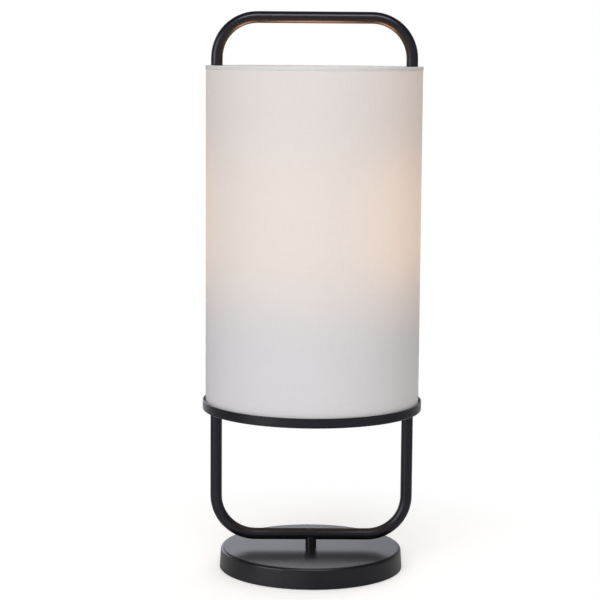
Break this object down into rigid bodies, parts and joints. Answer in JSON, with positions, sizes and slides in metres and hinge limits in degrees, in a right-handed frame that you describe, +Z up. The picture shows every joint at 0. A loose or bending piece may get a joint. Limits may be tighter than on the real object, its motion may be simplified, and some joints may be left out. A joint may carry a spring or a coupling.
{
  "type": "table lamp",
  "caption": "Table lamp with a bent-tube loop frame whose top is a carrying handle, a tall fabric drum shade seated in a ring, and a weighted disc base.",
  "frame": {"origin": "middle of the pad's underside, on the table", "axes": "+Z up along the lamp's axis, X in the plane of the loop, -Y to the front, +Y to the back with the cord inlet"},
  "size_m": [0.226, 0.226, 0.574],
  "materials": {
    "black_paint": "satin black powder coat",
    "cast_iron": "as cast",
    "zinc_steel": "zinc plated",
    "black_pad": "matt foam rubber",
    "black_rubber": "matt",
    "white_plastic": "moulded",
    "brass": "pressed",
    "black_plastic": "moulded",
    "white_ceramic": "unglazed",
    "lead_sheath": "extruded",
    "core_sheath": "extruded",
    "shade_cloth": "fine plain weave, off-white",
    "shade_lining": "translucent white",
    "white_wire": "white coated",
    "bulb_metal": "nickel bright",
    "bulb_black": "black glass look",
    "bulb_white": "moulded",
    "bulb_opal": "opal",
    "board_metal": "white solder mask",
    "chip_yellow": "phosphor",
    "driver_green": "circuit board"
  },
  "bodies": {
    "frame": {"base_cover": "black_paint", "stem_post": "black_paint", "frame_loop": "black_paint", "shade_ring": "black_paint", "bridge_tube": "black_paint", "base_weight": "cast_iron", "bottom_plate": "zinc_steel", "bottom_plate_screws": "zinc_steel", "terminal_screws": "zinc_steel", "stem_washer": "zinc_steel", "stem_nut": "zinc_steel", "holder_nipple": "zinc_steel", "nipple_nut": "zinc_steel", "holder_grub_screw": "zinc_steel", "holder_terminal_screws": "zinc_steel", "base_pad": "black_pad", "cord_grommet": "black_rubber", "terminal_block": "white_plastic", "terminal_sleeves": "brass", "holder_shell": "brass", "holder_tongue": "brass", "holder_terminals": "brass", "holder_cap": "black_plastic", "holder_body": "black_plastic", "holder_insert": "white_ceramic", "inner_lead": "lead_sheath", "lead_cores": "core_sheath"},
    "shade": {"shade_fabric": "shade_cloth", "shade_liner": "shade_lining", "shade_top_hem": "shade_cloth", "shade_bottom_hem": "shade_cloth", "shade_top_wire": "white_wire", "shade_bottom_wire": "white_wire", "shade_seam": "shade_cloth"},
    "bulb_carrier": {"bulb_contact": "bulb_metal", "bulb_insulator": "bulb_black"},
    "bulb": {"bulb_cap": "bulb_metal", "bulb_housing": "bulb_white", "bulb_globe": "bulb_opal", "bulb_board": "board_metal", "bulb_chips": "chip_yellow", "bulb_driver": "driver_green"}
  },
  "joints": [
    {"name": "shade_lift", "type": "slide", "parent": "frame", "child": "shade", "axis": [0, 0, 1], "range_m": [0, 0.41]},
    {"name": "bulb_lift", "type": "slide", "parent": "frame", "child": "bulb_carrier", "axis": [0, 0, 1], "range_m": [0, 0.0146]},
    {"name": "bulb_turn", "type": "hinge", "parent": "bulb_carrier", "child": "bulb", "pos_m": [0, 0, 0.28], "axis": [0, 0, 1], "range_deg": [0, 1440]}
  ],
  "couplings": [
    {"joint": "bulb_lift", "follows": "bulb_turn", "m_per_rad": 0.00057757}
  ]
}
